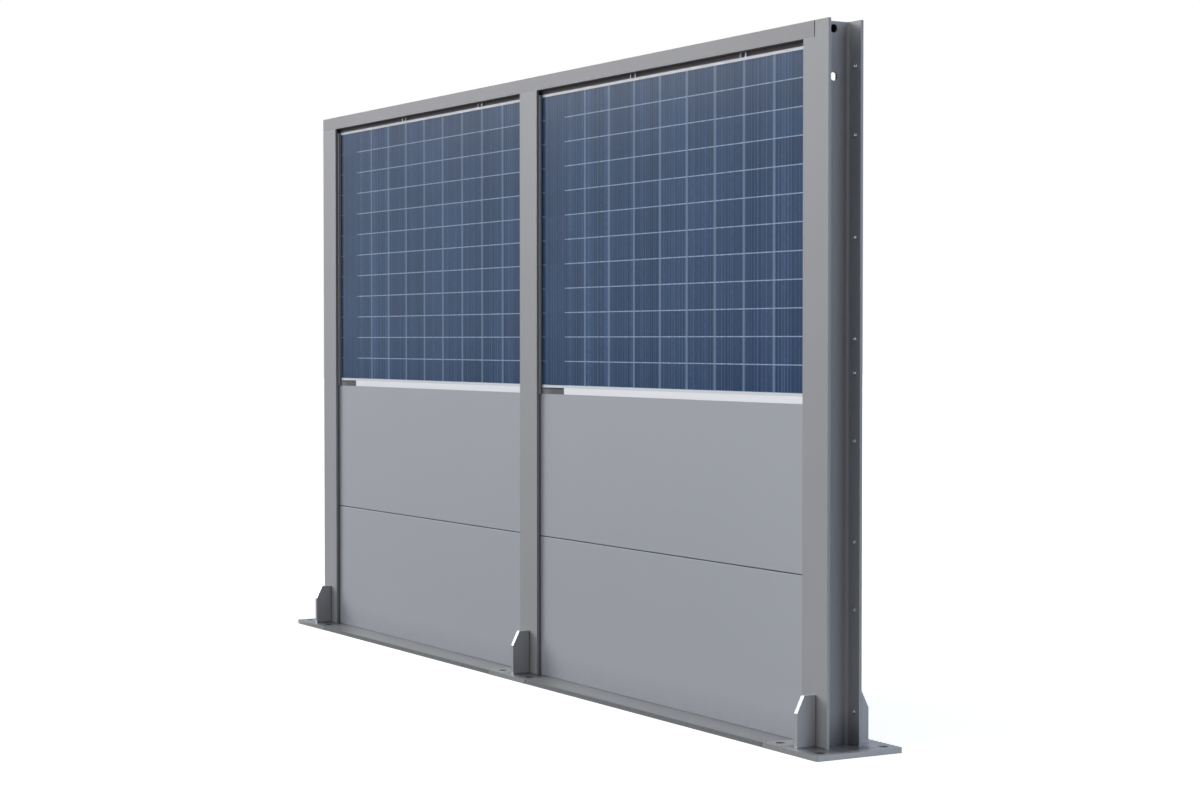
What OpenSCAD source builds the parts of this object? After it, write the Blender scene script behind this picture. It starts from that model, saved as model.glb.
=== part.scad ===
// Photovoltaic noise barrier: two bays of panels between three H-section posts.
// Millimetres. X runs along the barrier, the viewed face looks towards -Y, +Z is up.
// Origin: centre of the footprint, on the ground.

/* [Post] */
// distance between the centres of neighbouring posts
post_pitch = 1740; // [1400:10:2400]
// height of the post tops above the ground
post_top = 2100; // [1750:10:2600]
// flange width of the H section
post_w = 125; // [104:1:150]
// depth of the H section over both flanges
post_d = 122; // [104:1:150]
// thickness of a flange
flange_t = 9; // [6:0.5:12]
// thickness of the web
web_t = 6.5; // [5:0.5:9]
// radius between web and flange
root_r = 10; // [6:1:14]

/* [Foot] */
// base plate size along the barrier
base_w = 280; // [234:2:340]
// base plate size across the barrier
base_d = 300; // [270:2:360]
// base plate thickness
base_t = 16; // [12:1:22]
// rounding of the base plate's upright corners
base_r = 6; // [3:1:20]
// anchor hole spacing along the barrier
anchor_x = 200; // [166:2:230]
// anchor hole spacing across the barrier
anchor_y = 220; // [200:2:260]
// anchor hole diameter
anchor_d = 30; // [18:1:36]
// how far a stiffener reaches out from the flange
gusset_out = 65; // [45:1:78]
// stiffener height above the base plate
gusset_h = 150; // [100:5:220]
// stiffener thickness
gusset_t = 16; // [8:1:20]
// width of the stiffener's cut corner
cut_y = 25; // [15:1:40]
// height of the stiffener's cut corner
cut_z = 50; // [30:1:80]

/* [Top rail] */
// rail tube height
rail_h = 48; // [40:1:60]
// rail tube wall
rail_t = 4; // [2:0.5:6]
// diameter of the cable holes through the end web
cable_d = 25; // [16:1:30]
// height of the lower cable hole under the post top
cable_drop = 158; // [120:2:200]

/* [Noise panels] */
// height of the opaque wall above the ground
wall_top = 999; // [820:1:1200]
// height from the joint between the two panels to the wall top
panel_pitch = 497; // [420:1:560]
// gap between stacked panels
joint_gap = 3; // [2:0.5:6]
// setback of the panel face behind the post's front face
face_set = 15; // [13:0.5:20]
// thickness of the rear seal
rear_seal_t = 8; // [5:0.5:12]

/* [Photovoltaic element] */
// height of the profile between wall and photovoltaic frame
sill_h = 22; // [18:1:30]
// visible width of the frame at top and bottom
lip_h = 9; // [6:0.5:14]
// width of the frame at the posts
lip_w = 40; // [30:1:44]
// depth of the frame
frame_d = 35; // [30:1:40]
// thickness of the glass laminate
glass_t = 7; // [5:0.5:9]
// gap between the frame and the rail
head_gap = 17; // [10:1:22]
// distance from a post centre to the far end of the cable box
cable_box_w = 228; // [180:2:280]
// distance from the post on the right to the first head clip
clip_first = 402; // [300:1:480]
// distance between the two head clips
clip_pitch = 648; // [540:1:780]

/* [Ground strip] */
// thickness of the cover sheet between the base plates
cover_t = 3; // [2:0.5:4]
// how far the ground strip reaches behind the panels
strip_back = 60; // [50:1:90]

/* [View] */
// sub-part to draw

/* [Hidden] */
$fn = 96;
eps = 1;

left_x = -post_pitch;
right_x = post_pitch;
half_bay = post_pitch / 2;
front_y = -post_d / 2;
inner_y = post_d / 2 - flange_t;
panel_in = web_t / 2 + root_r + 1.75;
run_l = post_pitch - 2 * panel_in;
face_y = front_y + face_set;
front_seal_t = face_set - flange_t;
panel_d = 2 * inner_y - front_seal_t - rear_seal_t;
back_y = face_y + panel_d;
joint_z = wall_top - panel_pitch;
seal_tip = post_w / 2 - 4.5;

rail_z = post_top - rail_h;
rail_d = post_d - 2 * flange_t - 4;
rail_left = left_x - post_w / 2;
rail_right = right_x - web_t / 2 - 5;
notch_right = right_x - web_t / 2 - 1;
cable_z = post_top - 21;

pv_z = wall_top + sill_h;
pv_h = rail_z - head_gap - pv_z;
frame_back = face_y + frame_d;
skin_t = 1.5;
bed_t = 2.5;
glass_y = face_y + skin_t;
tuck = 6;
glass_l = run_l - 2 * lip_w + 2 * tuck;
glass_h = pv_h - 2 * lip_h + 2 * tuck;
glass_z = pv_z + lip_h - tuck;
head_set = 8;
head_d = 30;
clip_w = 36;
clip_slot = 22;
clip_d = 18;
clip_xs = [half_bay - clip_first, half_bay - clip_first - clip_pitch];
clamp_at = [0.12, 0.5, 0.82];
clamp_h = 60;
clamp_t = 5;
box_at = [0.22, 0.5, 0.78];
strip_front = -base_d / 2 + 1;
strip_l = post_pitch - base_w - 4;

// H section standing on its base plate, without cuts
module h_section() {
  translate([0, 0, base_t]) linear_extrude(post_top - base_t) difference() {
    square([post_w, post_d], center = true);
    for (s = [-1, 1]) {
      translate([s * (post_w / 4 + web_t / 4 + root_r / 2), 0])
        square([post_w / 2 - web_t / 2 - root_r, 2 * inner_y], center = true);
      translate([s * (web_t / 2 + root_r / 2), 0])
        square([root_r + 0.01, 2 * (inner_y - root_r)], center = true);
      for (t = [-1, 1])
        translate([s * (web_t / 2 + root_r), t * (inner_y - root_r)]) circle(r = root_r);
      translate([s * (post_w / 2), 0]) square([0.02, 2 * inner_y], center = true);
    }
  }
}

// Notch at the top of a post that takes the rail tube, from x0 to x1
module rail_notch(x0, x1) {
  translate([x0, front_y - eps, rail_z]) cube([x1 - x0, rail_d + eps, rail_h + eps]);
}

// Post that the rail passes over
module notched_post() {
  difference() {
    h_section();
    rail_notch(-post_w / 2 - eps, post_w / 2 + eps);
    web_hole(post_top - cable_drop);
  }
}

module web_hole(z) {
  translate([0, 0, z]) rotate([0, 90, 0]) cylinder(h = 4 * web_t, d = cable_d, center = true);
}

module post_left() {
  color("silver") translate([left_x, 0, 0]) notched_post();
}

module post_middle() {
  color("silver") notched_post();
}

// Only the flange is notched here, up to the web; the other half takes the next bay's rail
module post_right() {
  color("silver") translate([right_x, 0, 0]) difference() {
    h_section();
    translate([-post_w / 2 - eps, front_y - eps, rail_z])
      cube([post_w / 2 + eps + notch_right - right_x, flange_t + eps + 0.5, rail_h + eps]);
    translate([-post_w / 2, front_y + flange_t, rail_z])
      cube([post_w / 2 + notch_right - right_x, root_r, rail_h + eps]);
    web_hole(cable_z);
    web_hole(post_top - cable_drop);
  }
}

module base_plate() {
  w = base_w / 2 - base_r;
  d = base_d / 2 - base_r;
  difference() {
    union() {
      translate([-base_w / 2, -d, 0]) cube([base_w, 2 * d, base_t]);
      translate([-w, -base_d / 2, 0]) cube([2 * w, base_d, base_t]);
      for (x = [-w, w])
        for (y = [-d, d])
          translate([x, y, 0]) cylinder(h = base_t, r = base_r);
    }
    for (x = [-anchor_x / 2, anchor_x / 2])
      for (y = [-anchor_y / 2, anchor_y / 2])
        translate([x, y, -eps]) cylinder(h = base_t + 2 * eps, d = anchor_d);
  }
}

module base_plate_left() {
  color("gainsboro") translate([left_x, 0, 0]) base_plate();
}

module base_plate_middle() {
  color("gainsboro") base_plate();
}

module base_plate_right() {
  color("gainsboro") translate([right_x, 0, 0]) base_plate();
}

// Stiffeners in line with the web, one in front of the post and one behind it
module gussets() {
  outer = post_d / 2 + gusset_out;
  top = base_t + gusset_h;
  for (s = [-1, 1])
    translate([-gusset_t / 2, 0, 0]) rotate([90, 0, 90]) linear_extrude(gusset_t)
      polygon([
        [s * post_d / 2, base_t],
        [s * outer, base_t],
        [s * outer, top - cut_z],
        [s * (outer - cut_y), top],
        [s * post_d / 2, top]
      ]);
}

module gussets_left() {
  color("gainsboro") translate([left_x, 0, 0]) gussets();
}

module gussets_middle() {
  color("gainsboro") gussets();
}

module gussets_right() {
  color("gainsboro") translate([right_x, 0, 0]) gussets();
}

module top_rail() {
  color("silver") difference() {
    translate([rail_left, front_y, rail_z]) cube([rail_right - rail_left, rail_d, rail_h]);
    translate([rail_left - eps, front_y + rail_t, rail_z + rail_t])
      cube([rail_right - rail_left + 2 * eps, rail_d - 2 * rail_t, rail_h - 2 * rail_t]);
  }
}

module rail_end_cap() {
  color("dimgray") translate([rail_left, front_y + rail_t, rail_z + rail_t])
    cube([5, rail_d - 2 * rail_t, rail_h - 2 * rail_t]);
}

// Cassette with a tongue on top or a groove below, its front edges slightly broken
module noise_panel(z0, z1, tongue) {
  b = 1.5;
  difference() {
    translate([-run_l / 2, 0, 0]) rotate([90, 0, 90]) linear_extrude(run_l)
      polygon([
        [face_y, z0 + b], [face_y + b, z0], [back_y, z0],
        [back_y, z1], [face_y + b, z1], [face_y, z1 - b]
      ]);
    if (!tongue)
      translate([-run_l / 2 - eps, -9, z0 - eps]) cube([run_l + 2 * eps, 18, 11 + eps]);
  }
  if (tongue)
    translate([-run_l / 2, -8, z1]) cube([run_l, 16, 10]);
}

module lower_panel() {
  color("lightsteelblue") noise_panel(base_t, joint_z - joint_gap / 2, true);
}

module upper_panel() {
  color("lightsteelblue") noise_panel(joint_z + joint_gap / 2, wall_top, false);
}

module lower_panel_left() {
  translate([-half_bay, 0, 0]) lower_panel();
}

module lower_panel_right() {
  translate([half_bay, 0, 0]) lower_panel();
}

module upper_panel_left() {
  translate([-half_bay, 0, 0]) upper_panel();
}

module upper_panel_right() {
  translate([half_bay, 0, 0]) upper_panel();
}

// Rubber strips in the joint, in front of and behind the tongue
module joint_seals() {
  color("black") {
    translate([-run_l / 2, face_y + 5, joint_z - joint_gap / 2])
      cube([run_l, -10 - face_y - 5, joint_gap]);
    translate([-run_l / 2, 10, joint_z - joint_gap / 2])
      cube([run_l, back_y - 14, joint_gap]);
  }
}

module joint_seals_left() {
  translate([-half_bay, 0, 0]) joint_seals();
}

module joint_seals_right() {
  translate([half_bay, 0, 0]) joint_seals();
}

// Cover sheet on the ground strip, between two base plates
module ground_cover() {
  color("gainsboro") translate([-strip_l / 2, strip_front, base_t - cover_t])
    cube([strip_l, strip_back - strip_front, cover_t]);
}

// Rubber strip that closes the gap under the panels
module ground_seal() {
  color("black") translate([-strip_l / 2, strip_front + 1, 0])
    cube([strip_l, strip_back - strip_front - 2, base_t - cover_t]);
}

module ground_cover_left() {
  translate([-half_bay, 0, 0]) ground_cover();
}

module ground_cover_right() {
  translate([half_bay, 0, 0]) ground_cover();
}

module ground_seal_left() {
  translate([-half_bay, 0, 0]) ground_seal();
}

module ground_seal_right() {
  translate([half_bay, 0, 0]) ground_seal();
}

// Hollow profile between the opaque wall and the photovoltaic frame
module pv_sill() {
  x0 = -half_bay + cable_box_w + 2;
  l = half_bay - panel_in - x0;
  w = 2.5;
  color("white") difference() {
    translate([x0, face_y, wall_top]) cube([l, panel_d, sill_h]);
    translate([x0 - eps, face_y + w, wall_top + w])
      cube([l + 2 * eps, panel_d - 2 * w, sill_h - 2 * w]);
  }
}

module pv_sill_left() {
  translate([-half_bay, 0, 0]) pv_sill();
}

module pv_sill_right() {
  translate([half_bay, 0, 0]) pv_sill();
}

// Housing where the module's cables come out, at the end of the sill
module cable_box() {
  color("dimgray") translate([-half_bay + panel_in, face_y, wall_top])
    cube([cable_box_w - panel_in, panel_d / 2, sill_h - 4]);
}

module cable_box_left() {
  translate([-half_bay, 0, 0]) cable_box();
}

module cable_box_right() {
  translate([half_bay, 0, 0]) cable_box();
}

// Extruded frame: front lip, glass pocket, hollow back with a return flange
module pv_frame() {
  wall = 2.5;
  hollow_y = glass_y + glass_t + bed_t;
  color("white") difference() {
    translate([-run_l / 2, face_y, pv_z]) cube([run_l, frame_d, pv_h]);
    translate([-run_l / 2 + lip_w, face_y - eps, pv_z + lip_h])
      cube([run_l - 2 * lip_w, frame_d + 2 * eps, pv_h - 2 * lip_h]);
    translate([-glass_l / 2, glass_y, glass_z]) cube([glass_l, glass_t, glass_h]);
    translate([-run_l / 2 + wall, hollow_y, pv_z + wall])
      cube([run_l - 2 * wall, frame_back - 2 - hollow_y, pv_h - 2 * wall]);
  }
}

module pv_frame_left() {
  translate([-half_bay, 0, 0]) pv_frame();
}

module pv_frame_right() {
  translate([half_bay, 0, 0]) pv_frame();
}

module pv_laminate() {
  c = 0.5;
  color("midnightblue") translate([-glass_l / 2 + c, glass_y, glass_z + c])
    cube([glass_l - 2 * c, glass_t, glass_h - 2 * c]);
}

module pv_laminate_left() {
  translate([-half_bay, 0, 0]) pv_laminate();
}

module pv_laminate_right() {
  translate([half_bay, 0, 0]) pv_laminate();
}

// Boxes on the back of the laminate, behind the band without cells
module junction_boxes() {
  color("black") for (f = box_at)
    translate([-half_bay + 100, glass_y + glass_t, pv_z + f * pv_h - 45]) cube([64, 18, 90]);
}

module junction_boxes_left() {
  translate([-half_bay, 0, 0]) junction_boxes();
}

module junction_boxes_right() {
  translate([half_bay, 0, 0]) junction_boxes();
}

// Strip that closes the gap under the rail, cut out round the clips
module head_seal() {
  color("black") difference() {
    translate([-run_l / 2, face_y + head_set, pv_z + pv_h]) cube([run_l, head_d, head_gap]);
    for (x = clip_xs)
      translate([x - clip_w / 2, face_y, pv_z + pv_h - eps])
        cube([clip_w, clip_d + 1, head_gap + 2 * eps]);
  }
}

module head_seal_left() {
  translate([-half_bay, 0, 0]) head_seal();
}

module head_seal_right() {
  translate([half_bay, 0, 0]) head_seal();
}

// Clips that hold the frame's top edge under the rail, slotted in front
module head_clips() {
  color("white") for (x = clip_xs)
    translate([x, face_y + 1, pv_z + pv_h]) difference() {
      translate([-clip_w / 2, 0, 0]) cube([clip_w, clip_d, head_gap]);
      translate([-clip_slot / 2, -eps, -eps]) cube([clip_slot, 12 + eps, head_gap + 2 * eps]);
    }
}

module head_clips_left() {
  translate([-half_bay, 0, 0]) head_clips();
}

module head_clips_right() {
  translate([half_bay, 0, 0]) head_clips();
}

// Upright rubber strips between the front flanges and the panels
module front_seals() {
  color("black") for (s = [-1, 1])
    translate([s * (half_bay - (panel_in + seal_tip) / 2), front_y + flange_t, base_t])
      translate([-(seal_tip - panel_in) / 2, 0, 0])
        cube([seal_tip - panel_in, front_seal_t, pv_z + pv_h - base_t]);
}

module front_seals_left() {
  translate([-half_bay, 0, 0]) front_seals();
}

module front_seals_right() {
  translate([half_bay, 0, 0]) front_seals();
}

// Upright rubber strips between the opaque panels and the rear flanges
module rear_seals() {
  color("black") for (s = [-1, 1])
    translate([s * (half_bay - (panel_in + seal_tip) / 2), back_y, base_t])
      translate([-(seal_tip - panel_in) / 2, 0, 0])
        cube([seal_tip - panel_in, rear_seal_t, wall_top - base_t]);
}

module rear_seals_left() {
  translate([-half_bay, 0, 0]) rear_seals();
}

module rear_seals_right() {
  translate([half_bay, 0, 0]) rear_seals();
}

// Angle brackets on the webs that press the photovoltaic frame forwards
module pv_clamps() {
  color("silver") for (s = [-1, 1])
    for (f = clamp_at)
      translate([s * half_bay, frame_back, pv_z + f * pv_h - clamp_h / 2])
        mirror([s < 0 ? 0 : 1, 0, 0]) {
          translate([web_t / 2, 0, 0]) cube([clamp_t, inner_y - root_r - 2 - frame_back, clamp_h]);
          translate([web_t / 2, 0, 0]) cube([46, clamp_t, clamp_h]);
        }
}

module pv_clamps_left() {
  translate([-half_bay, 0, 0]) pv_clamps();
}

module pv_clamps_right() {
  translate([half_bay, 0, 0]) pv_clamps();
}

post_left();
post_middle();
post_right();
base_plate_left();
base_plate_middle();
base_plate_right();
gussets_left();
gussets_middle();
gussets_right();
top_rail();
rail_end_cap();
lower_panel_left();
lower_panel_right();
upper_panel_left();
upper_panel_right();
joint_seals_left();
joint_seals_right();
ground_cover_left();
ground_cover_right();
ground_seal_left();
ground_seal_right();
pv_sill_left();
pv_sill_right();
cable_box_left();
cable_box_right();
pv_frame_left();
pv_frame_right();
pv_laminate_left();
pv_laminate_right();
junction_boxes_left();
junction_boxes_right();
head_seal_left();
head_seal_right();
head_clips_left();
head_clips_right();
front_seals_left();
front_seals_right();
rear_seals_left();
rear_seals_right();
pv_clamps_left();
pv_clamps_right();
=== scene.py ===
import math

import bpy
import numpy as np
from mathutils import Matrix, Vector


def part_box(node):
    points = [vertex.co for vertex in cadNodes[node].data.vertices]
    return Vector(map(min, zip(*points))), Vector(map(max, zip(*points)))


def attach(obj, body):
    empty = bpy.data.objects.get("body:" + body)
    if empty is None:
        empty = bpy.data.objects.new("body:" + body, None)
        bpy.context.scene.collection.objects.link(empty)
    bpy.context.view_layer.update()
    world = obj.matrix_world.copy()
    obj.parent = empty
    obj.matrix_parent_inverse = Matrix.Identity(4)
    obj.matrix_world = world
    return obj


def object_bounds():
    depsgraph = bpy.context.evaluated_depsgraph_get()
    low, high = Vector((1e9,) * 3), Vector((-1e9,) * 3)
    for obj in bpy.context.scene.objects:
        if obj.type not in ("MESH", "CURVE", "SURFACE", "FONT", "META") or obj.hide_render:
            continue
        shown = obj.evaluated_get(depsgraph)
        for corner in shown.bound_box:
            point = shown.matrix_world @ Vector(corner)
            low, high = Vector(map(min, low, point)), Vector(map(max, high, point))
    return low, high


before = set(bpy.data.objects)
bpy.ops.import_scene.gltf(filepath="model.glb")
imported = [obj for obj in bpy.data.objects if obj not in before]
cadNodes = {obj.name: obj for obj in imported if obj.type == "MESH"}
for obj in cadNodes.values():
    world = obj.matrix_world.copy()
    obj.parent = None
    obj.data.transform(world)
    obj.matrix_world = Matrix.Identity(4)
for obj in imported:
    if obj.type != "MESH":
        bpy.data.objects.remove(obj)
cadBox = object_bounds()
print("frame loaded:", len(cadNodes), "CAD pieces")

# where the posts and bays stand, read from the CAD pieces
postX = {side: sum(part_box("base_plate_" + side)[i].x for i in (0, 1)) / 2
         for side in ("left", "middle", "right")}
postLow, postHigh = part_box("post_right")
postFrontY, postBackY = postLow.y, postHigh.y
postTopZ, plateTopZ = postHigh.z, postLow.z
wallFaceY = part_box("upper_panel_right")[0].y
flange, webHalf = 0.009, 0.00325  # the rolled post's flange thickness, and half its web's
innerY = postBackY - flange
bayRightX = {"left": postX["middle"], "right": postX["right"]}


def linear(hexColour):
    # sRGB hex to linear: c/12.92 up to 0.04045, else ((c + 0.055)/1.055)^2.4
    c = np.array([int(hexColour[i:i + 2], 16) for i in (1, 3, 5)]) / 255
    c = np.where(c <= 0.04045, c / 12.92, ((c + 0.055) / 1.055) ** 2.4)
    return (*c.tolist(), 1.0)


def addNode(tree, kind, settings=None, links=None):
    # adds one node, sets its own properties or its sockets' values, then links sockets into it
    node = tree.nodes.new("ShaderNode" + kind)
    for key, value in (settings or {}).items():
        if isinstance(key, str) and key in node.bl_rna.properties:
            setattr(node, key, value)
        else:
            node.inputs[key].default_value = value
    for key, socket in (links or {}).items():
        tree.links.new(socket, node.inputs[key])
    return node


def newMaterial(name):
    # an empty node material with its surface shader and its coordinates
    material = bpy.data.materials.new(name)
    material.use_nodes = True
    tree = material.node_tree
    tree.nodes.clear()
    out = addNode(tree, "OutputMaterial")
    shader = addNode(tree, "BsdfPrincipled")
    tree.links.new(shader.outputs["BSDF"], out.inputs["Surface"])
    place = addNode(tree, "TexCoord").outputs["Object"]
    return material, tree, shader, place


coat = {
    "post": {"light": "#9c9da0", "dark": "#96979a", "laidColour": "#8b8985", "roughness": 0.52, "peel": 0.05},
    "plate": {"light": "#a4a6aa", "dark": "#9b9ea2", "laidColour": "#8c8b88", "roughness": 0.22, "peel": 0.04},
    "stiffener": {"light": "#b2b4b8", "dark": "#a9abaf", "laidColour": "#93928f", "roughness": 0.22, "peel": 0.04},
    "rail": {"light": "#8e8d90", "dark": "#88878a", "laidColour": "#8b898b", "roughness": 0.50, "peel": 0.05},
    "cover": {"light": "#94969a", "dark": "#8c8e92", "laidColour": "#858481", "roughness": 0.30, "peel": 0.05},
}
film = {
    "cloudScale": 4.0, "streakScale": (65.0, 65.0, 2.0), "peelScale": 250.0, "peelTall": 0.0006,
    "dustTop": 0.12, "dustMost": 0.55, "dustLeast": 0.06, "smoother": 0.05, "rougher": 0.07, "ior": 1.5,
}


def powderCoat(name, look):
    # polyester powder coat over galvanised steel: even light grey, soft sheen, faint orange peel,
    # clouds about 250 mm across where the film is thicker, a little road dust low down
    material, tree, shader, place = newMaterial(name)
    clouds = addNode(tree, "TexNoise", {"Scale": film["cloudScale"], "Detail": 3.0, "Roughness": 0.55},
                     {"Vector": place})
    tone = addNode(tree, "Mix", {"data_type": "RGBA", 6: linear(look["dark"]), 7: linear(look["light"])},
                   {0: clouds.outputs["Fac"]})
    # streaks 15 mm wide and half a metre long, as rain leaves them
    drawnOut = addNode(tree, "Mapping", {"Scale": film["streakScale"]}, {"Vector": place})
    streaks = addNode(tree, "TexNoise", {"Scale": 1.0, "Detail": 2.0}, {"Vector": drawnOut.outputs[0]})
    height = addNode(tree, "SeparateXYZ", {}, {0: place})
    # dust thins out over the lowest 120 mm
    low = addNode(tree, "MapRange", {"interpolation_type": "SMOOTHSTEP", "From Max": film["dustTop"],
                                     "To Min": film["dustMost"], "To Max": film["dustLeast"]},
                  {"Value": height.outputs["Z"]})
    dust = addNode(tree, "Math", {"operation": "MULTIPLY"}, {0: low.outputs[0], 1: streaks.outputs["Fac"]})
    colour = addNode(tree, "Mix", {"data_type": "RGBA", 7: linear(look["laidColour"])},
                     {0: dust.outputs[0], 6: tone.outputs[2]})
    # orange peel of 2 mm, drawn at 4 mm so that it shows
    peel = addNode(tree, "TexNoise", {"Scale": film["peelScale"], "Detail": 2.0}, {"Vector": place})
    bump = addNode(tree, "Bump", {"Strength": look["peel"], "Distance": film["peelTall"]},
                   {"Height": peel.outputs["Fac"]})
    rough = addNode(tree, "MapRange", {"To Min": look["roughness"] - film["smoother"],
                                       "To Max": look["roughness"] + film["rougher"]},
                    {"Value": clouds.outputs["Fac"]})
    tree.links.new(colour.outputs[2], shader.inputs["Base Color"])
    tree.links.new(rough.outputs[0], shader.inputs["Roughness"])
    tree.links.new(bump.outputs[0], shader.inputs["Normal"])
    shader.inputs["IOR"].default_value = film["ior"]
    return material


patchy = {"scale": 22.0, "from": 0.3, "to": 0.7, "least": 0.75}  # the laid colour lies in patches about 45 mm across


def addPaintedOverlay(material, look, maskOf):
    # lays a colour over a finish where the mask is 1: colour = finish + strength * mask * (laid colour - finish);
    # at most places this colour is painted shade, on the housings a paler tone
    tree = material.node_tree
    shader, place = tree.nodes["Principled BSDF"], tree.nodes["Texture Coordinate"].outputs["Object"]
    at = addNode(tree, "SeparateXYZ", {}, {0: place})
    patches = addNode(tree, "TexNoise", {"Scale": patchy["scale"], "Detail": 3.0}, {"Vector": place})
    uneven = addNode(tree, "MapRange", {"From Min": patchy["from"], "From Max": patchy["to"],
                                        "To Min": look["strength"] * patchy["least"],
                                        "To Max": look["strength"]}, {"Value": patches.outputs["Fac"]})
    part = addNode(tree, "Math", {"operation": "MULTIPLY"}, {0: maskOf(tree, at), 1: uneven.outputs[0]})
    clean = shader.inputs["Base Color"].links[0].from_socket
    overlaid = addNode(tree, "Mix", {"data_type": "RGBA", 7: linear(look["laidColour"])}, {0: part.outputs[0], 6: clean})
    tree.links.new(overlaid.outputs[2], shader.inputs["Base Color"])


# colours laid over the finishes: painted shade round the posts' feet, in their channels, at the covers' back, at
# the panels' foot and up the frames, and a paler tone at each housing's end
shadeAndTone = {
    "plate": {"laidColour": "#35353a", "strength": 0.80, "midX": 0.034, "midY": -0.030, "halfX": 0.064,
              "halfY": 0.082, "fade": 0.042},
    "post": {"laidColour": "#3a3a44", "strength": 0.55, "from": 0.016, "to": 0.12, "past": 0.001},
    "cover": {"laidColour": "#55555a", "strength": 0.30, "from": -0.125, "to": -0.055},
    "panel": {"laidColour": "#5e6065", "strength": 0.36, "from": 0.010, "to": 0.105},
    "frame": {"laidColour": "#828388", "strength": 0.75, "from": 1.30, "to": 1.90},
    "box": {"laidColour": "#8a9194", "strength": 0.65, "from": 0.30, "to": 0.66},
}


def footShadeMask(tree, at):
    # painted shade: 1 round each post's foot and off to its front right corner, where the post and its stiffeners
    # shade the plate,
    # fading with the distance outside a box: d = |(max(|x - p| - a, 0), max(|y - q| - b, 0))|, with x counted
    # from the nearest post
    look = shadeAndTone["plate"]
    alongX = addNode(tree, "Math", {"operation": "WRAP", 1: postX["right"] / 2 + look["midX"],
                                    2: look["midX"] - postX["right"] / 2}, {0: at.outputs["X"]})
    fromX = addNode(tree, "Math", {"operation": "SUBTRACT", 1: look["midX"]}, {0: alongX.outputs[0]})
    fromY = addNode(tree, "Math", {"operation": "SUBTRACT", 1: look["midY"]}, {0: at.outputs["Y"]})
    foldX = addNode(tree, "Math", {"operation": "ABSOLUTE"}, {0: fromX.outputs[0]})
    foldY = addNode(tree, "Math", {"operation": "ABSOLUTE"}, {0: fromY.outputs[0]})
    outX = addNode(tree, "Math", {"operation": "SUBTRACT", 1: look["halfX"]}, {0: foldX.outputs[0]})
    outY = addNode(tree, "Math", {"operation": "SUBTRACT", 1: look["halfY"]}, {0: foldY.outputs[0]})
    out = addNode(tree, "CombineXYZ", {}, {0: outX.outputs[0], 1: outY.outputs[0]})
    clear = addNode(tree, "VectorMath", {"operation": "MAXIMUM", 1: (0.0, 0.0, 0.0)}, {0: out.outputs[0]})
    length = addNode(tree, "VectorMath", {"operation": "LENGTH"}, {0: clear.outputs[0]})
    return addNode(tree, "MapRange", {"interpolation_type": "SMOOTHSTEP", "From Max": look["fade"],
                                      "To Min": 1.0, "To Max": 0.0},
                   {"Value": length.outputs["Value"]}).outputs[0]


def channelShadeMask(tree, at):
    # painted shade in the post's channel: grows towards the foot, between the flanges only
    look = shadeAndTone["post"]
    acrossY = addNode(tree, "Math", {"operation": "ABSOLUTE"}, {0: at.outputs["Y"]})
    inside = addNode(tree, "Math", {"operation": "LESS_THAN", 1: innerY + look["past"]}, {0: acrossY.outputs[0]})
    low = addNode(tree, "MapRange", {"interpolation_type": "SMOOTHSTEP", "From Min": look["from"],
                                     "From Max": look["to"], "To Min": 1.0, "To Max": 0.0},
                  {"Value": at.outputs["Z"]})
    return addNode(tree, "Math", {"operation": "MULTIPLY"}, {0: inside.outputs[0], 1: low.outputs[0]}).outputs[0]


def coverShadeMask(tree, at):
    # painted shade in the corner at the panels' foot: grows from the cover's front edge back towards the foot of
    # the panels
    look = shadeAndTone["cover"]
    return addNode(tree, "MapRange", {"interpolation_type": "SMOOTHSTEP", "From Min": look["from"],
                                      "From Max": look["to"]}, {"Value": at.outputs["Y"]}).outputs[0]


def panelFootShadeMask(tree, at):
    # painted shade at the panels' foot, where they meet the cover: fades out above the ground
    look = shadeAndTone["panel"]
    return addNode(tree, "MapRange", {"From Min": look["from"], "From Max": look["to"],
                                      "To Min": 1.0, "To Max": 0.0}, {"Value": at.outputs["Z"]}).outputs[0]


def railShadeMask(tree, at):
    # painted shade under the rail: grows up the frame towards its head, which the rail shades
    look = shadeAndTone["frame"]
    return addNode(tree, "MapRange", {"From Min": look["from"], "From Max": look["to"]},
                   {"Value": at.outputs["Z"]}).outputs[0]


def endMask(tree, at):
    # paler towards the end next to the post, over parts of the housing's length counted from that end
    look = shadeAndTone["box"]
    low, high = (end.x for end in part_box("cable_box_right"))
    along = addNode(tree, "Math", {"operation": "WRAP", 1: postX["right"], 2: 0.0}, {0: at.outputs["X"]})
    return addNode(tree, "MapRange", {"interpolation_type": "SMOOTHSTEP",
                                      "From Min": low + look["from"] * (high - low),
                                      "From Max": low + look["to"] * (high - low), "To Min": 1.0, "To Max": 0.0},
                   {"Value": along.outputs[0]}).outputs[0]


panelLook = {
    "light": "#a9acb4", "dark": "#a4a7af", "roughness": 0.52, "smoother": 0.05, "rougher": 0.06, "ior": 1.5,
    "grainTall": 0.004, "grainDeep": 0.125, "grainLong": 0.25, "cloudScale": 2.2, "cloudShare": 0.45,
    "relief": 0.06, "reliefTall": 0.0005,
}


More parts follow.
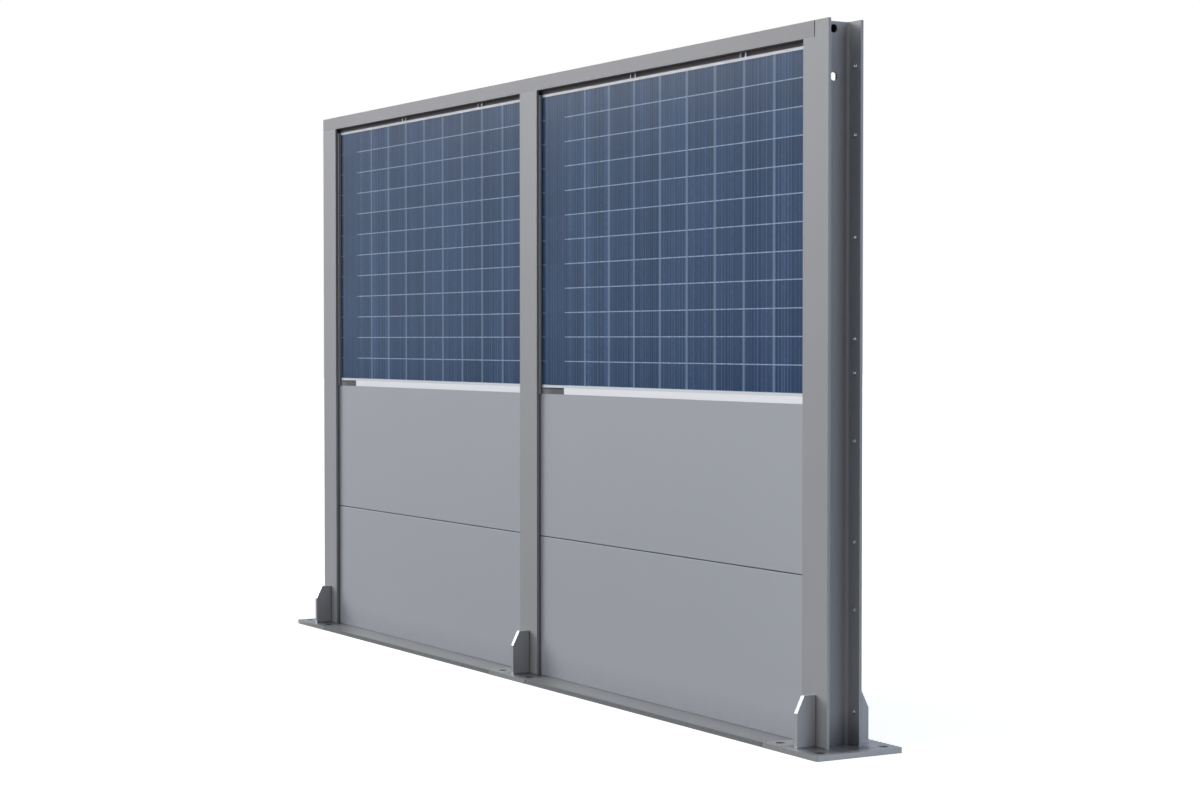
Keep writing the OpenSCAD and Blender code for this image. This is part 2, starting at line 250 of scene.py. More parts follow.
def coilCoatedSheet(name, look):
    # coil-coated flat sheet: cool satin grey with a faint level rolling grain and a soft sheen
    material, tree, shader, place = newMaterial(name)
    perMetre = tuple(1 / look[size] for size in ("grainLong", "grainDeep", "grainTall"))
    stretched = addNode(tree, "Mapping", {"Scale": perMetre}, {"Vector": place})
    grain = addNode(tree, "TexNoise", {"Scale": 1.0, "Detail": 3.0, "Roughness": 0.6},
                    {"Vector": stretched.outputs[0]})
    clouds = addNode(tree, "TexNoise", {"Scale": look["cloudScale"], "Detail": 2.0}, {"Vector": place})
    both = addNode(tree, "Mix", {"data_type": "FLOAT", 0: look["cloudShare"]},
                   {2: grain.outputs["Fac"], 3: clouds.outputs["Fac"]})
    tone = addNode(tree, "Mix", {"data_type": "RGBA", 6: linear(look["dark"]), 7: linear(look["light"])},
                   {0: both.outputs[0]})
    bump = addNode(tree, "Bump", {"Strength": look["relief"], "Distance": look["reliefTall"]},
                   {"Height": grain.outputs["Fac"]})
    rough = addNode(tree, "MapRange", {"To Min": look["roughness"] - look["smoother"],
                                       "To Max": look["roughness"] + look["rougher"]},
                    {"Value": grain.outputs["Fac"]})
    tree.links.new(tone.outputs[2], shader.inputs["Base Color"])
    tree.links.new(rough.outputs[0], shader.inputs["Roughness"])
    tree.links.new(bump.outputs[0], shader.inputs["Normal"])
    shader.inputs["IOR"].default_value = look["ior"]
    return material


aluminiumLook = {
    "sill": {"light": "#f5f6f8", "dark": "#e8e9ec", "roughness": 0.42},
    "frame": {"light": "#dfe2e6", "dark": "#cfd3d8", "roughness": 0.40},
    "bead": {"light": "#a2a4a8", "dark": "#94969b", "roughness": 0.45},
}
dieLines = {"scale": (1.5, 700.0, 700.0), "relief": 0.05, "tall": 0.0002, "spread": 0.06, "metallic": 0.25}


def anodisedAluminium(name, look):
    # satin anodised extrusion: a matt oxide film over the metal, pale and soft, with fine die lines
    material, tree, shader, place = newMaterial(name)
    # the lines lie 1.5 mm apart and run along X
    stretched = addNode(tree, "Mapping", {"Scale": dieLines["scale"]}, {"Vector": place})
    lines = addNode(tree, "TexNoise", {"Scale": 1.0, "Detail": 1.0}, {"Vector": stretched.outputs[0]})
    tone = addNode(tree, "Mix", {"data_type": "RGBA", 6: linear(look["dark"]), 7: linear(look["light"])},
                   {0: lines.outputs["Fac"]})
    rough = addNode(tree, "MapRange", {"To Min": look["roughness"] - dieLines["spread"],
                                       "To Max": look["roughness"] + dieLines["spread"]},
                    {"Value": lines.outputs["Fac"]})
    bump = addNode(tree, "Bump", {"Strength": dieLines["relief"], "Distance": dieLines["tall"]},
                   {"Height": lines.outputs["Fac"]})
    tree.links.new(tone.outputs[2], shader.inputs["Base Color"])
    tree.links.new(rough.outputs[0], shader.inputs["Roughness"])
    tree.links.new(bump.outputs[0], shader.inputs["Normal"])
    shader.inputs["Metallic"].default_value = dieLines["metallic"]
    return material


rubberLook = {
    "seal": {"light": "#4c4e54", "dark": "#3c3e43"}, "head": {"light": "#726a6c", "dark": "#5f585a"},
    "front": {"light": "#868a90", "dark": "#74787e"}, "foot": {"light": "#74777b", "dark": "#686b6f"},
}
bloomed = {"scale": 40.0, "smooth": 0.6, "rough": 0.85, "ior": 1.52}


def weatherRubber(name, look):
    # extruded EPDM: dull, greyed by weather in soft patches about 25 mm across
    material, tree, shader, place = newMaterial(name)
    bloom = addNode(tree, "TexNoise", {"Scale": bloomed["scale"], "Detail": 4.0}, {"Vector": place})
    tone = addNode(tree, "Mix", {"data_type": "RGBA", 6: linear(look["dark"]), 7: linear(look["light"])},
                   {0: bloom.outputs["Fac"]})
    rough = addNode(tree, "MapRange", {"To Min": bloomed["smooth"], "To Max": bloomed["rough"]},
                    {"Value": bloom.outputs["Fac"]})
    tree.links.new(tone.outputs[2], shader.inputs["Base Color"])
    tree.links.new(rough.outputs[0], shader.inputs["Roughness"])
    shader.inputs["IOR"].default_value = bloomed["ior"]
    return material


plasticLook = {
    "box": {"light": "#3b4042", "dark": "#2e3335", "roughness": 0.5},
    "lid": {"light": "#2f3335", "dark": "#25292b", "roughness": 0.42},
    "cap": {"light": "#4d4e50", "dark": "#3f4042", "roughness": 0.55},
}
sparkGrain = {"scale": 900.0, "relief": 0.15, "tall": 0.0002, "cloudScale": 18.0, "smoother": 0.06,
              "rougher": 0.08, "ior": 1.5}


def mouldedPlastic(name, look):
    # injection-moulded housing: dark, half matt from a spark-eroded grain of about 1 mm
    material, tree, shader, place = newMaterial(name)
    grain = addNode(tree, "TexNoise", {"Scale": sparkGrain["scale"], "Detail": 2.0}, {"Vector": place})
    clouds = addNode(tree, "TexNoise", {"Scale": sparkGrain["cloudScale"], "Detail": 2.0}, {"Vector": place})
    tone = addNode(tree, "Mix", {"data_type": "RGBA", 6: linear(look["dark"]), 7: linear(look["light"])},
                   {0: clouds.outputs["Fac"]})
    bump = addNode(tree, "Bump", {"Strength": sparkGrain["relief"], "Distance": sparkGrain["tall"]},
                   {"Height": grain.outputs["Fac"]})
    rough = addNode(tree, "MapRange", {"To Min": look["roughness"] - sparkGrain["smoother"],
                                       "To Max": look["roughness"] + sparkGrain["rougher"]},
                    {"Value": grain.outputs["Fac"]})
    tree.links.new(tone.outputs[2], shader.inputs["Base Color"])
    tree.links.new(rough.outputs[0], shader.inputs["Roughness"])
    tree.links.new(bump.outputs[0], shader.inputs["Normal"])
    shader.inputs["IOR"].default_value = sparkGrain["ior"]
    return material


zincLook = {"dark": "#9fa2a6", "light": "#c0c3c7", "spangleScale": 160.0, "smooth": 0.28, "rough": 0.46}


def zincPlated(name, look):
    # bright zinc plating: grey metal with spangles about 6 mm across
    material, tree, shader, place = newMaterial(name)
    spangle = addNode(tree, "TexVoronoi", {"Scale": look["spangleScale"]}, {"Vector": place})
    level = addNode(tree, "SeparateColor", {}, {0: spangle.outputs["Color"]})
    tone = addNode(tree, "Mix", {"data_type": "RGBA", 6: linear(look["dark"]), 7: linear(look["light"])},
                   {0: level.outputs[0]})
    rough = addNode(tree, "MapRange", {"To Min": look["smooth"], "To Max": look["rough"]},
                    {"Value": level.outputs[1]})
    tree.links.new(tone.outputs[2], shader.inputs["Base Color"])
    tree.links.new(rough.outputs[0], shader.inputs["Roughness"])
    shader.inputs["Metallic"].default_value = 1.0
    return material


cells = {
    "pitchX": 0.1618, "firstX": -0.0788, "gapX": 0.0108, "moved": {"left": 0.015, "right": 0.006},
    "pitchZ": 0.08333, "firstZ": 1.0292, "gapZ": 0.0027,
    "lastX": -1.508, "edgeCells": 0.004, "edgeColumns": 0.02, "stubX": -1.652, "stubFaint": 0.55,
    "barPitch": 0.01618, "barWide": 0.0013, "softness": 0.0008, "columnFaint": 0.31, "brokenLeast": 0.62,
    "blue": "#264468", "deep": "#132a49", "pale": "#4b6b96", "gap": "#b4cbe8", "bar": "#8ea6c0",
    "backSheet": "#dfe2e5", "strip": 0.0062, "bandShare": 0.2, "calmLeast": 0.2, "calmTone": 0.46,
    "grainScale": 85.0, "grainMost": 0.45, "shadeMost": 0.35, "barMost": 0.6,
    "roughness": 0.16, "ior": 1.42,
}


def solarLaminate(name, right, look):
    # clear glass over polycrystalline cells on a white back sheet: deep blue with thin pale gaps between
    # the cells, silver conductor lines standing upright and the glass's own sharp reflection
    material, tree, shader, place = newMaterial(name)
    moved = addNode(tree, "Mapping", {"Location": (-right, 0.0, 0.0)}, {"Vector": place})
    at = addNode(tree, "SeparateXYZ", {}, {0: moved.outputs[0]})
    x, y, z = at.outputs["X"], at.outputs["Y"], at.outputs["Z"]

    def lineMask(source, first, pitch, wide):
        # 1 on lines "wide" across at every "pitch" from "first", 0 between, with soft edges
        count = addNode(tree, "Math", {"operation": "MULTIPLY_ADD", 1: 1 / pitch, 2: -first / pitch}, {0: source})
        away = addNode(tree, "Math", {"operation": "PINGPONG", 1: 0.5}, {0: count.outputs[0]})
        mask = addNode(tree, "MapRange", {"From Min": (wide / 2 - look["softness"]) / pitch,
                                          "From Max": (wide / 2 + look["softness"]) / pitch,
                                          "To Min": 1.0, "To Max": 0.0}, {"Value": away.outputs[0]})
        return mask.outputs[0], count.outputs[0]

    columns, columnCount = lineMask(x, look["firstX"], look["pitchX"], look["gapX"])
    rows, rowCount = lineMask(z, look["firstZ"], look["pitchZ"], look["gapZ"])
    bars, barCount = lineMask(x, look["firstX"] + look["barPitch"] / 2, look["barPitch"], look["barWide"])

    # the gaps stop where the outermost column of cells is one uncut strip
    hasCells = addNode(tree, "Math", {"operation": "GREATER_THAN", 1: look["lastX"] - look["edgeCells"]}, {0: x})
    hasColumns = addNode(tree, "Math", {"operation": "GREATER_THAN", 1: look["lastX"] + look["edgeColumns"]},
                         {0: x})
    stub = addNode(tree, "Math", {"operation": "LESS_THAN", 1: look["stubX"]}, {0: x})
    rowsShown = addNode(tree, "Math", {"operation": "MULTIPLY_ADD", 1: look["stubFaint"]},
                        {0: stub.outputs[0], 2: hasCells.outputs[0]})
    # the row lines are broken up where conductors cross them
    broken = addNode(tree, "TexNoise", {"noise_dimensions": "1D", "Scale": 45.0, "Detail": 3.0}, {"W": x})
    brokenLevel = addNode(tree, "MapRange", {"From Min": 0.35, "From Max": 0.65,
                                             "To Min": look["brokenLeast"], "To Max": 1.0},
                          {"Value": broken.outputs["Fac"]})
    rowStrength = addNode(tree, "Math", {"operation": "MULTIPLY"},
                          {0: brokenLevel.outputs[0], 1: rowsShown.outputs[0]})
    rowLines = addNode(tree, "Math", {"operation": "MULTIPLY"}, {0: rows, 1: rowStrength.outputs[0]})
    columnLines = addNode(tree, "Math", {"operation": "MULTIPLY"}, {0: columns, 1: hasColumns.outputs[0]})
    columnFaint = addNode(tree, "Math", {"operation": "MULTIPLY", 1: look["columnFaint"]},
                          {0: columnLines.outputs[0]})
    gaps = addNode(tree, "Math", {"operation": "MAXIMUM"}, {0: rowLines.outputs[0], 1: columnFaint.outputs[0]})

    # strips a few millimetres wide differ in brightness, as the fine contact fingers catch the light
    stripCount = addNode(tree, "Math", {"operation": "MULTIPLY", 1: 1 / look["strip"]}, {0: x})
    stripNumber = addNode(tree, "Math", {"operation": "FLOOR"}, {0: stripCount.outputs[0]})
    stripShade = addNode(tree, "TexWhiteNoise", {"noise_dimensions": "1D"}, {"W": stripNumber.outputs[0]})
    bands = addNode(tree, "TexNoise", {"noise_dimensions": "1D", "Scale": 28.0, "Detail": 2.0}, {"W": x})
    bandLevel = addNode(tree, "MapRange", {"From Min": 0.3, "From Max": 0.7}, {"Value": bands.outputs["Fac"]})
    stripLevel = addNode(tree, "Mix", {"data_type": "FLOAT", 0: look["bandShare"]},
                         {2: stripShade.outputs["Value"], 3: bandLevel.outputs[0]})
    # the strips show clearly in some places and hardly in others, over about 100 mm
    calm = addNode(tree, "TexNoise", {"noise_dimensions": "1D", "Scale": 10.0, "Detail": 1.0}, {"W": x})
    calmLevel = addNode(tree, "MapRange", {"From Min": 0.4, "From Max": 0.6,
                                           "To Min": look["calmLeast"], "To Max": 1.0},
                        {"Value": calm.outputs["Fac"]})
    shownLevel = addNode(tree, "Mix", {"data_type": "FLOAT", 2: look["calmTone"]},
                         {0: calmLevel.outputs[0], 3: stripLevel.outputs[0]})
    # crystal grains about 12 mm across
    grain = addNode(tree, "TexVoronoi", {"Scale": look["grainScale"]}, {"Vector": place})
    grainLevel = addNode(tree, "SeparateColor", {}, {0: grain.outputs["Color"]})
    # each cell has its own shade
    columnNumber = addNode(tree, "Math", {"operation": "FLOOR"}, {0: columnCount})
    rowNumber = addNode(tree, "Math", {"operation": "FLOOR"}, {0: rowCount})
    cellKey = addNode(tree, "CombineXYZ", {}, {0: columnNumber.outputs[0], 1: rowNumber.outputs[0]})
    cellShade = addNode(tree, "TexWhiteNoise", {"noise_dimensions": "2D"}, {"Vector": cellKey.outputs[0]})
    base = addNode(tree, "Mix", {"data_type": "RGBA", 6: linear(look["deep"]), 7: linear(look["pale"])},
                   {0: shownLevel.outputs[0]})
    grainPart = addNode(tree, "Math", {"operation": "MULTIPLY", 1: look["grainMost"]}, {0: grainLevel.outputs[0]})
    grained = addNode(tree, "Mix", {"data_type": "RGBA", 7: linear(look["blue"])},
                      {0: grainPart.outputs[0], 6: base.outputs[2]})
    shadePart = addNode(tree, "Math", {"operation": "MULTIPLY", 1: look["shadeMost"]},
                        {0: cellShade.outputs["Value"]})
    shaded = addNode(tree, "Mix", {"data_type": "RGBA", 7: linear(look["deep"])},
                     {0: shadePart.outputs[0], 6: grained.outputs[2]})

    # conductor lines, each with its own strength
    barNumber = addNode(tree, "Math", {"operation": "ROUND"}, {0: barCount})
    barShade = addNode(tree, "TexWhiteNoise", {"noise_dimensions": "1D"}, {"W": barNumber.outputs[0]})
    barPart = addNode(tree, "MapRange", {"To Min": 0.0, "To Max": look["barMost"]},
                      {"Value": barShade.outputs["Value"]})
    barMask = addNode(tree, "Math", {"operation": "MULTIPLY"}, {0: bars, 1: barPart.outputs[0]})
    barred = addNode(tree, "Mix", {"data_type": "RGBA", 7: linear(look["bar"])},
                     {0: barMask.outputs[0], 6: shaded.outputs[2]})
    front = addNode(tree, "Mix", {"data_type": "RGBA", 7: linear(look["gap"])},
                    {0: gaps.outputs[0], 6: barred.outputs[2]})
    # the back half of the thickness is the white sheet
    glassLow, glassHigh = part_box("pv_laminate_right")
    isBack = addNode(tree, "Math", {"operation": "GREATER_THAN", 1: (glassLow.y + glassHigh.y) / 2}, {0: y})
    colour = addNode(tree, "Mix", {"data_type": "RGBA", 7: linear(look["backSheet"])},
                     {0: isBack.outputs[0], 6: front.outputs[2]})
    tree.links.new(colour.outputs[2], shader.inputs["Base Color"])
    shader.inputs["Roughness"].default_value = look["roughness"]
    shader.inputs["IOR"].default_value = look["ior"]
    return material


postCoat = powderCoat("powderCoatPosts", coat["post"])
plateCoat = powderCoat("powderCoatPlates", coat["plate"])
railCoat = powderCoat("powderCoatRail", coat["rail"])
coverCoat = powderCoat("powderCoatCovers", coat["cover"])
stiffenerCoat = powderCoat("powderCoatStiffeners", coat["stiffener"])
panelSheet = coilCoatedSheet("coilCoatedPanelSheet", panelLook)
sillAluminium = anodisedAluminium("anodisedSill", aluminiumLook["sill"])
frameAluminium = anodisedAluminium("anodisedFrame", aluminiumLook["frame"])
beadAluminium = anodisedAluminium("anodisedBead", aluminiumLook["bead"])
sealRubber = weatherRubber("weatherRubber", rubberLook["seal"])
headRubber = weatherRubber("weatherRubberHead", rubberLook["head"])
frontRubber = weatherRubber("weatherRubberFront", rubberLook["front"])
footRubber = weatherRubber("weatherRubberFoot", rubberLook["foot"])
boxPlastic = mouldedPlastic("housingPlastic", plasticLook["box"])
lidPlastic = mouldedPlastic("lidPlastic", plasticLook["lid"])
capPlastic = mouldedPlastic("capPlastic", plasticLook["cap"])
zincSteel = zincPlated("zincPlatedSteel", zincLook)
laminate = {side: solarLaminate("solarLaminate" + side.title(), bayRightX[side] + cells["moved"][side], cells)
            for side in bayRightX}

# painted shade on the plates, posts, covers, panels and frames; a paler tone at the housings' ends
addPaintedOverlay(plateCoat, shadeAndTone["plate"], footShadeMask)
addPaintedOverlay(postCoat, shadeAndTone["post"], channelShadeMask)
addPaintedOverlay(coverCoat, shadeAndTone["cover"], coverShadeMask)
addPaintedOverlay(panelSheet, shadeAndTone["panel"], panelFootShadeMask)
addPaintedOverlay(frameAluminium, shadeAndTone["frame"], railShadeMask)
addPaintedOverlay(boxPlastic, shadeAndTone["box"], endMask)

finishOf = {
    "post_": postCoat, "base_plate_": plateCoat, "gussets_": stiffenerCoat, "top_rail": railCoat,
    "rail_end_cap": capPlastic, "lower_panel_": panelSheet, "upper_panel_": panelSheet,
    "joint_seals_": sealRubber, "ground_cover_": coverCoat, "ground_seal_": footRubber,
    "pv_sill_": sillAluminium, "cable_box_": boxPlastic, "pv_frame_": frameAluminium,
    "pv_laminate_left": laminate["left"], "pv_laminate_right": laminate["right"],
    "junction_boxes_": boxPlastic, "head_seal_": headRubber, "head_clips_": frameAluminium,
    "front_seals_": frontRubber, "rear_seals_": sealRubber, "pv_clamps_": zincSteel,
}
for nodeName, node in cadNodes.items():
    finish = next(m for start, m in finishOf.items() if nodeName.startswith(start))
    node.data.materials.clear()
    node.data.materials.append(finish)
print("materials assigned")


def closedShell(rows, columns, copies=1, flipped=False):
    # faces of a stack of closed rings, repeated: quads between neighbours and one flat face over each end
    r = np.arange(rows - 1)[:, None] * columns
    c = np.arange(columns)[None, :]
    n = (c + 1) % columns
    quads = np.stack([r + c, r + n, r + columns + n, r + columns + c], -1).reshape(-1, 4)
    ends = np.stack([np.arange(columns)[::-1], (rows - 1) * columns + np.arange(columns)])
    step = (np.arange(copies) * rows * columns)[:, None, None]
    blocks = [(block[None] + step).reshape(-1, block.shape[1]) for block in (quads, ends)]
    return [block[:, ::-1] if flipped else block for block in blocks]


def makePiece(name, points, blocks, material, smooth=True):
    # one mesh object at the origin from points and blocks of faces, riding with the barrier
    mesh = bpy.data.meshes.new(name)
    faces = [face for block in blocks for face in block.tolist()]
    mesh.from_pydata(points.reshape(-1, 3).tolist(), [], faces)
    mesh.polygons.foreach_set("use_smooth", np.full(len(mesh.polygons), smooth))
    mesh.materials.append(material)
    mesh.update()
    piece = bpy.data.objects.new(name, mesh)
    bpy.context.scene.collection.objects.link(piece)
    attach(piece, "root")


screw = {
    "washerR": 0.0075, "hexR": 0.0048, "washerT": 0.0018, "headT": 0.0062, "edge": 0.0008, "rim": 0.6,
    "sides": 24, "heights": [0.112, 0.407, 0.603, 0.894, 1.090, 1.188, 1.480, 1.773, 1.970], "offX": 0.036,
}


def screwHeads(name, places, outward):
    # rings round the screw's axis: a washer, and a head whose radius follows a hexagon,
    # R(angle) = apothem / cos(((angle + 30 deg) mod 60 deg) - 30 deg)
    angle = np.linspace(0, 2 * np.pi, screw["sides"], endpoint=False)
    hexagon = screw["hexR"] / np.cos((angle + np.pi / 6) % (np.pi / 3) - np.pi / 6)
    circle = np.full_like(angle, screw["washerR"])
    washerT, headT, edge = screw["washerT"], screw["headT"], screw["edge"]
    rings = [(circle, 0.0), (circle, screw["rim"] * washerT), (circle - edge, washerT), (hexagon, washerT),
             (hexagon, headT - edge), (hexagon - edge, headT)]
    base = np.stack([np.stack([r * np.cos(angle), np.full_like(angle, outward * depth), r * np.sin(angle)], -1)
                     for r, depth in rings])
    points = base[None] + np.asarray(places, float)[:, None, None, :]
    blocks = closedShell(len(rings), screw["sides"], len(places), flipped=outward > 0)
    makePiece(name, points, blocks, zincSteel, smooth=False)


# one column of screws in the open channel, and one on the back of each flange that covers a bay's edge
channelPlaces = [(postX["right"] + screw["offX"], innerY, z) for z in screw["heights"]]
bayEdges = (("left", 1), ("middle", -1), ("middle", 1), ("right", -1))
backPlaces = [(postX[side] + s * screw["offX"], postBackY, z) for side, s in bayEdges for z in screw["heights"]]
screwHeads("screws_channel", channelPlaces, -1)
screwHeads("screws_back", backPlaces, 1)
print("screws made:", len(backPlaces) + len(channelPlaces))


def roundedOutline(around, power):
    # rounded rectangle of half sides 1: |p|^n + |q|^n = 1, taken at even angles
    angle = np.linspace(0, 2 * np.pi, around, endpoint=False)
    c, s = np.cos(angle), np.sin(angle)
    reach = (np.abs(c) ** power + np.abs(s) ** power) ** (-1 / power)
    return reach * c, reach * s


lid = {
    "wide": 0.054, "tall": 0.080, "rise": 0.0045, "run": 0.6, "arcRings": 6, "sunk": 0.001,
    "power": 7.0, "around": 72, "boxTall": 0.090,
}


def junctionLids(side):
    # flat dome over a rounded rectangle, on each of the three boxes: rings shrink by run * rise * (1 - cos t)
    # and lift by rise * sin t over a quarter turn t, from a ring sunk a little into the box
    low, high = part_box("junction_boxes_" + side)
    centreX, middle = (low.x + high.x) / 2, (low.z + high.z) / 2
    p, q = roundedOutline(lid["around"], lid["power"])
    turn = np.linspace(0, np.pi / 2, lid["arcRings"])
    inset = np.concatenate([[0.0], lid["rise"] * lid["run"] * (1 - np.cos(turn))])
    lift = np.concatenate([[-lid["sunk"]], lid["rise"] * np.sin(turn)])
    x = (lid["wide"] / 2 - inset)[:, None] * p[None]
    z = (lid["tall"] / 2 - inset)[:, None] * q[None]
    y = np.broadcast_to(high.y + lift[:, None], x.shape)
    shell = np.stack([x + centreX, y, z], -1)
    span = (high.z - low.z) - lid["boxTall"]
    middles = middle + np.array([-0.5, 0.0, 0.5]) * span
    points = shell[None] + np.array([0.0, 0.0, 1.0]) * middles[:, None, None, None]
    blocks = closedShell(len(inset), lid["around"], len(middles), flipped=True)
    makePiece("junction_lids_" + side, points, blocks, lidPlastic)


for side in bayRightX:
    junctionLids(side)
print("junction box lids made")

glazing = {
    "bead": {"wide": 0.0075, "deep": 0.0058, "from": {"left": 0.0690, "right": 0.0655}},
    "gasket": {"wide": 0.018, "deep": 0.0016, "from": {"left": 0.0780, "right": 0.0670}},
    "around": 32, "power": 5.0,
}


def uprightStrips(name, side, look, material):
    # two bars along Z, one beside each post: a rounded rectangle as wide and deep as the bar, with its back
    # on the glazing's face, is carried from the sill's foot to the frame's head
    bottom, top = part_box("pv_sill_" + side)[0].z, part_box("pv_frame_" + side)[1].z
    p, q = roundedOutline(glazing["around"], glazing["power"])
    x = look["wide"] / 2 * p
    y = wallFaceY - look["deep"] / 2 + look["deep"] / 2 * q
    bar = np.stack([np.stack([x, y, np.full_like(x, z)], -1) for z in (bottom, top)])
    right = bayRightX[side]
    places = np.array([right - postX["right"] + look["from"][side], right - look["from"]["right"]])
    points = bar[None] + places[:, None, None, None] * np.array([1.0, 0.0, 0.0])
    blocks = closedShell(2, glazing["around"], len(places))
    makePiece(name + side, points, blocks, material, smooth=False)


for side in bayRightX:
    uprightStrips("glazing_beads_", side, glazing["bead"], beadAluminium)
    uprightStrips("glazing_gaskets_", side, glazing["gasket"], sealRubber)
print("glazing beads made")

weld = {
    "leg": 0.004, "fullness": 0.72, "ripple": 0.0035, "perRipple": 3, "fewest": 8, "swell": 0.07, "round": 10,
    "closeOver": 0.003, "endSize": 0.1, "corner": 0.01,
}


def weldBeads(name, lines):
    # point(u, v) = start + u (end - start) + r(u) (cos v n1 + sin v n2), where r swells with each ripple,
    # draws in over the last 3 mm and ends at a tenth of the leg
    points, blocks, offset = [], [], 0
    for start, end, n1, n2 in lines:
        start, end, n1, n2 = (np.array(k, float) for k in (start, end, n1, n2))
        length = np.linalg.norm(end - start)
        steps = max(weld["fewest"], int(length / weld["ripple"] * weld["perRipple"]))
        u = np.linspace(0, 1, steps)
        v = np.linspace(0, 2 * np.pi, weld["round"], endpoint=False)
        taper = np.clip(np.minimum(u, 1 - u) * length / weld["closeOver"], 0, 1) ** 0.5
        swell = 1 + weld["swell"] * np.sin(2 * np.pi * u * length / weld["ripple"])
        r = weld["leg"] * weld["fullness"] * taper * swell
        r[[0, -1]] = weld["endSize"] * weld["leg"]
        ring = np.cos(v)[None, :, None] * n1 + np.sin(v)[None, :, None] * n2
        grid = start + u[:, None, None] * (end - start) + r[:, None, None] * ring
        flipped = np.dot(np.cross(n1, n2), end - start) < 0
        points.append(grid.reshape(-1, 3))
        blocks += [block + offset for block in closedShell(steps, weld["round"], flipped=flipped)]
        offset += steps * weld["round"]
    makePiece(name, np.concatenate(points), blocks, plateCoat)


def footWelds(side):
    # beads round the post's foot and up both stiffeners, each as (start, end, one way out, the other way out)
    x0, z0, up, lines = postX[side], plateTopZ, (0, 0, 1), []
    low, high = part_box("gussets_" + side)
    halfT, half = (high.x - low.x) / 2, (postHigh.x - postLow.x) / 2
    for s in (-1, 1):
        face, edge = s * -postFrontY, high.y if s > 0 else low.y
        lines.append(((x0 - half, face, z0), (x0 - halfT, face, z0), (0, s, 0), up))
        lines.append(((x0 + halfT, face, z0), (x0 + half, face, z0), (0, s, 0), up))
        for t in (-1, 1):
            x = x0 + t * halfT
            lines.append(((x, face, z0), (x, face, high.z), (t, 0, 0), (0, s, 0)))
            lines.append(((x, face, z0), (x, edge, z0), (t, 0, 0), up))
    # the channel that no bay fills, on an end post's outer side, has its web and flanges welded too
    outer = {"left": -1, "middle": 0, "right": 1}[side]
    if outer:
        web, clear = x0 + outer * webHalf, innerY - weld["corner"]
        lines.append(((web, -clear, z0), (web, clear, z0), (outer, 0, 0), up))
        near, far = sorted((web + outer * weld["corner"], x0 + outer * half))
        for s in (-1, 1):
            lines.append(((near, s * innerY, z0), (far, s * innerY, z0), (0, -s, 0), up))
    weldBeads("welds_" + side, lines)


for side in postX:
    footWelds(side)
print("welds made")


studio = {
    "floor": "#f2f2f2", "floorBounce": "#808080", "floorHalf": 60, "floorRoughness": 0.9, "floorGlow": 0.62,
    "glowFrom": -0.02, "glowTo": 0.01, "endGlow": 0.6, "endFrom": 0.05, "endTo": 0.45,
    "sky": "#e6f0ff", "back": 1.0, "gloss": 0.62, "fill": 0.08,
    "cameraAt": (7.293, -3.968, 1.185), "azimuth": 60.08, "down": 1.453, "lens": 70.76, "sensor": 36.0,
    "seesTo": 200.0,
}
lamps = {
    "side": {"from": (-0.85, -0.42, 0.36), "spread": 26.0, "power": 1.95},
    "front": {"from": (-0.30, -0.86, 0.42), "spread": 52.0, "power": 0.95},
    "rim": {"from": (0.62, 0.72, 0.30), "spread": 75.0, "power": 2.45, "tint": "#e2ecff"},
    "top": {"from": (0.10, -0.25, 0.96), "spread": 60.0, "power": 0.5},
    "near": {"from": (0.80, -0.58, 0.20), "spread": 60.0, "power": 0.15},
    "edge": {"from": (0.58, -0.81, 0.12), "spread": 40.0, "power": 1.0, "onlyShine": True},
}


def softLamp(name, look):
    # a very wide lamp far away, "spread" degrees across as the barrier sees it
    lamp = bpy.data.lights.new(name, "SUN")
    lamp.angle, lamp.energy = math.radians(look["spread"]), look["power"]
    lamp.color = linear(look.get("tint", "#ffffff"))[:3]
    holder = bpy.data.objects.new(name, lamp)
    holder.rotation_euler = (-Vector(look["from"])).to_track_quat("-Z", "Y").to_euler()
    holder.location = Vector(look["from"]) * 8  # only its direction counts
    holder.visible_diffuse = not look.get("onlyShine", False)
    bpy.context.scene.collection.objects.link(holder)


for lampName, lampLook in lamps.items():
    softLamp(lampName, lampLook)

floorMesh = bpy.data.meshes.new("floor")
corners = [(x * studio["floorHalf"], y * studio["floorHalf"], 0) for x, y in ((-1, -1), (1, -1), (1, 1), (-1, 1))]
floorMesh.from_pydata(corners, [], [(0, 1, 2, 3)])
floor = bpy.data.objects.new("floor", floorMesh)
bpy.context.scene.collection.objects.link(floor)
floorMaterial, floorTree, floorShader, floorPlace = newMaterial("paleFloor")
# the floor is seen white, and throws little light back up at the barrier
looked = addNode(floorTree, "LightPath").outputs["Is Camera Ray"]
floorTone = addNode(floorTree, "Mix", {"data_type": "RGBA", 6: linear(studio["floorBounce"]),
                                       7: linear(studio["floor"])}, {0: looked})
# the glow stops under the base plates, as no light reaches the floor there
floorAt = addNode(floorTree, "SeparateXYZ", {}, {0: floorPlace})
away, clearOf = {}, {}
for axis, edge in (("X", cadBox[1][0]), ("Y", cadBox[1][1])):
    away[axis] = addNode(floorTree, "Math", {"operation": "ABSOLUTE"}, {0: floorAt.outputs[axis]}).outputs[0]
    clearOf[axis] = addNode(floorTree, "MapRange", {"From Min": edge + studio["glowFrom"],
                                                    "From Max": edge + studio["glowTo"]},
                            {"Value": away[axis]}).outputs[0]
beyond = addNode(floorTree, "Math", {"operation": "MAXIMUM"}, {0: clearOf["X"], 1: clearOf["Y"]})
glowLevel = addNode(floorTree, "Math", {"operation": "MULTIPLY", 1: studio["floorGlow"]}, {0: beyond.outputs[0]})
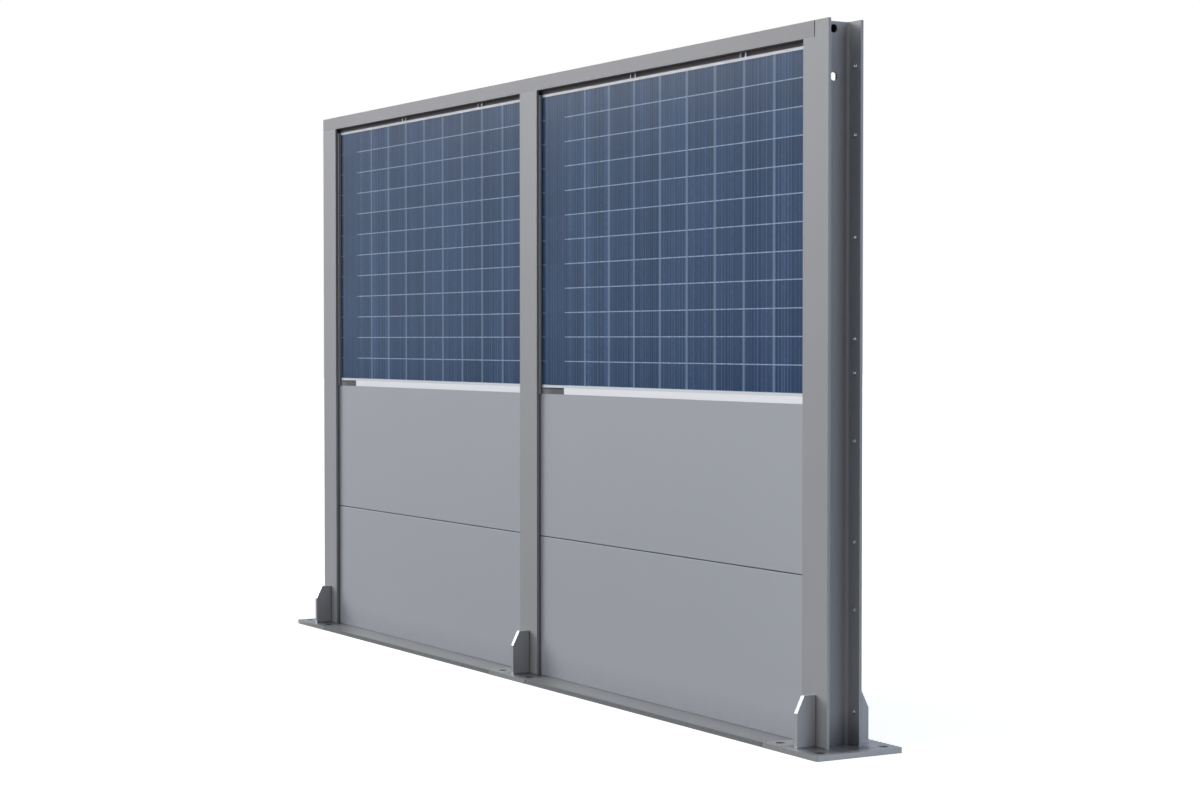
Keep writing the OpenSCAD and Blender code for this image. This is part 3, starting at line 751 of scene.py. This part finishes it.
# a white card lies on the floor beyond each end and lights the plates' edges
fade = addNode(floorTree, "MapRange", {"From Min": cadBox[1][0] + studio["endFrom"],
                                       "From Max": cadBox[1][0] + studio["endTo"],
                                       "To Min": studio["endGlow"], "To Max": 0.0}, {"Value": away["X"]})
card = addNode(floorTree, "Math", {"operation": "MULTIPLY"}, {0: fade.outputs[0], 1: clearOf["X"]})
floorGlow = addNode(floorTree, "Mix", {"data_type": "FLOAT"},
                    {0: looked, 2: card.outputs[0], 3: glowLevel.outputs[0]})
floorTree.links.new(floorTone.outputs[2], floorShader.inputs["Base Color"])
floorTree.links.new(floorGlow.outputs[0], floorShader.inputs["Emission Strength"])
floorShader.inputs["Roughness"].default_value = studio["floorRoughness"]
floorShader.inputs["Specular IOR Level"].default_value = 0.0
floorShader.inputs["Emission Color"].default_value = (1.0, 1.0, 1.0, 1.0)
floorMesh.materials.append(floorMaterial)

# white behind, a softer white for lighting
world = bpy.data.worlds.new("studioWhite")
bpy.context.scene.world = world
world.use_nodes = True
worldTree = world.node_tree
worldTree.nodes.clear()
path = addNode(worldTree, "LightPath")
indirect = addNode(worldTree, "Mix", {"data_type": "FLOAT", 2: studio["gloss"], 3: studio["fill"]},
                   {0: path.outputs["Is Diffuse Ray"]})
level = addNode(worldTree, "Mix", {"data_type": "FLOAT", 3: studio["back"]},
                {0: path.outputs["Is Camera Ray"], 2: indirect.outputs[0]})
hue = addNode(worldTree, "Mix", {"data_type": "RGBA", 6: linear(studio["sky"]), 7: (1.0, 1.0, 1.0, 1.0)},
              {0: path.outputs["Is Camera Ray"]})
white = addNode(worldTree, "Background", {}, {"Color": hue.outputs[2], "Strength": level.outputs[0]})
addNode(worldTree, "OutputWorld", {}, {"Surface": white.outputs[0]})

cameraData = bpy.data.cameras.new("camera")
cameraData.lens, cameraData.sensor_width = studio["lens"], studio["sensor"]
cameraData.clip_end = studio["seesTo"]
camera = bpy.data.objects.new("camera", cameraData)
camera.location = studio["cameraAt"]
camera.rotation_euler = (math.radians(90 - studio["down"]), 0.0, math.radians(studio["azimuth"]))
bpy.context.scene.collection.objects.link(camera)
bpy.context.scene.camera = camera
bpy.context.scene.view_settings.view_transform = "Standard"
print("studio set")
